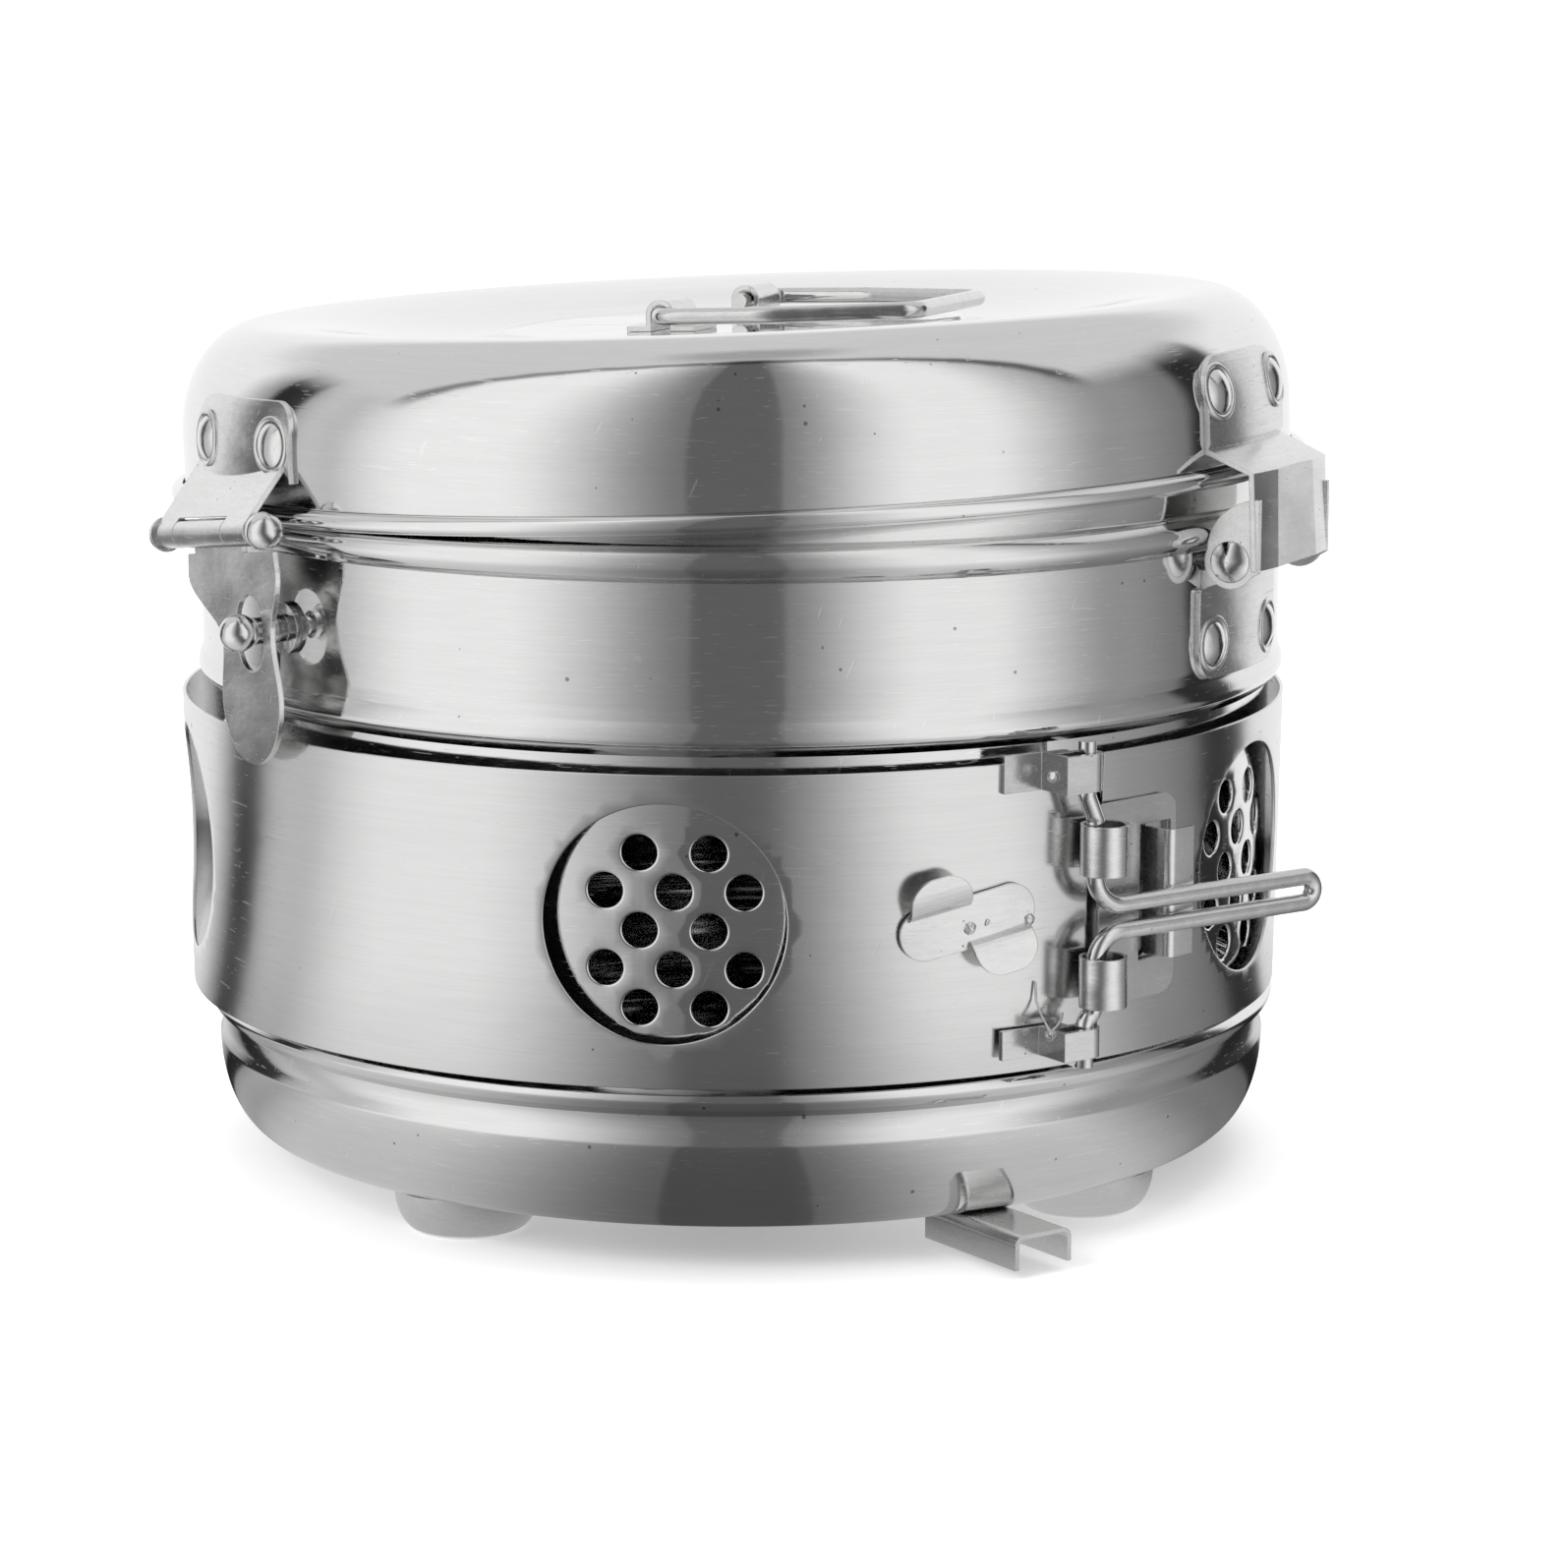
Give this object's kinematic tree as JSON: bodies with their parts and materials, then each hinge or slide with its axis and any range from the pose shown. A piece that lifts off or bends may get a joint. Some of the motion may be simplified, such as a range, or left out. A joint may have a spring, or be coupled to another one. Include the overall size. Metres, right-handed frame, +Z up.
{
  "type": "ventilated storage jar",
  "caption": "Round steel drum with a hinged domed lid, clasp, bail handle, vented wall and a sliding shutter band with a wire latch, on small feet.",
  "frame": {"origin": "on the floor plane under the feet, on the axis of the drum", "axes": "+Z up along the drum's axis, -Y towards the front, which the picture shows, and +X to the right, where the latch and the hinge are"},
  "size_m": [0.1738, 0.1731, 0.1342],
  "materials": {
    "drum_steel": "polished sheet with fine horizontal brush marks",
    "lid_steel": "mirror polished with fine short scratches",
    "band_steel": "polished sheet, brushed round the drum",
    "plate_steel": "satin pressed plate with bright burred edges",
    "foot_steel": "satin pressed sheet",
    "rivet_steel": "turned and polished",
    "wire_steel": "drawn wire, bright"
  },
  "bodies": {
    "drum": {"drum_body": "drum_steel", "foot_front_left": "foot_steel", "foot_front_right": "foot_steel", "foot_rear_right": "foot_steel", "foot_rear_left": "foot_steel", "base_channel": "foot_steel", "body_hinge_plate": "plate_steel", "body_hinge_rivets": "rivet_steel", "hinge_pin": "rivet_steel", "stud_base": "plate_steel", "clasp_stud": "rivet_steel"},
    "lid": {"lid_shell": "lid_steel", "lid_hinge_plate": "plate_steel", "lid_hinge_rivets": "rivet_steel", "clasp_plate": "plate_steel", "clasp_rivets": "rivet_steel", "clasp_pin": "rivet_steel", "handle_lug_near": "plate_steel", "handle_lug_far": "plate_steel"},
    "hasp": {"hasp": "plate_steel"},
    "bail": {"bail_handle": "wire_steel"},
    "band": {"shutter_band": "band_steel", "latch_bracket_upper": "plate_steel", "latch_bracket_lower": "plate_steel", "keeper_clip": "plate_steel"},
    "latch_lever": {"latch_wire": "wire_steel"},
    "link": {"link_plate": "plate_steel"}
  },
  "joints": [
    {"name": "lid_hinge", "type": "hinge", "parent": "drum", "child": "lid", "pos_m": [0.07676, -0.03911, 0.0982], "axis": [0.454, 0.891, 0], "range_deg": [0, 98]},
    {"name": "hasp_swing", "type": "hinge", "parent": "lid", "child": "hasp", "pos_m": [-0.07557, -0.047, 0.10183], "axis": [-0.5313, 0.8382, -0.1235], "range_deg": [0, 110]},
    {"name": "bail_swing", "type": "hinge", "parent": "lid", "child": "bail", "pos_m": [-0.00401, 0.00273, 0.1303], "axis": [-0.3972, -0.9177, 0.0027], "range_deg": [0, 180]},
    {"name": "band_turn", "type": "hinge", "parent": "drum", "child": "band", "pos_m": [-0.00115, 0, 0.05], "axis": [0, 0, 1], "range_deg": [-36, 36]},
    {"name": "latch_swing", "type": "hinge", "parent": "band", "child": "latch_lever", "pos_m": [0.04899, -0.07268, 0.05], "axis": [0, 0, -1], "range_deg": [0, 176]},
    {"name": "link_slide", "type": "slide", "parent": "band", "child": "link", "axis": [-0.7193, -0.6947, 0], "range_m": [0, 0.00371]}
  ],
  "couplings": [
    {"joint": "link_slide", "follows": "latch_swing", "m_per_rad": 0.0012045}
  ]
}
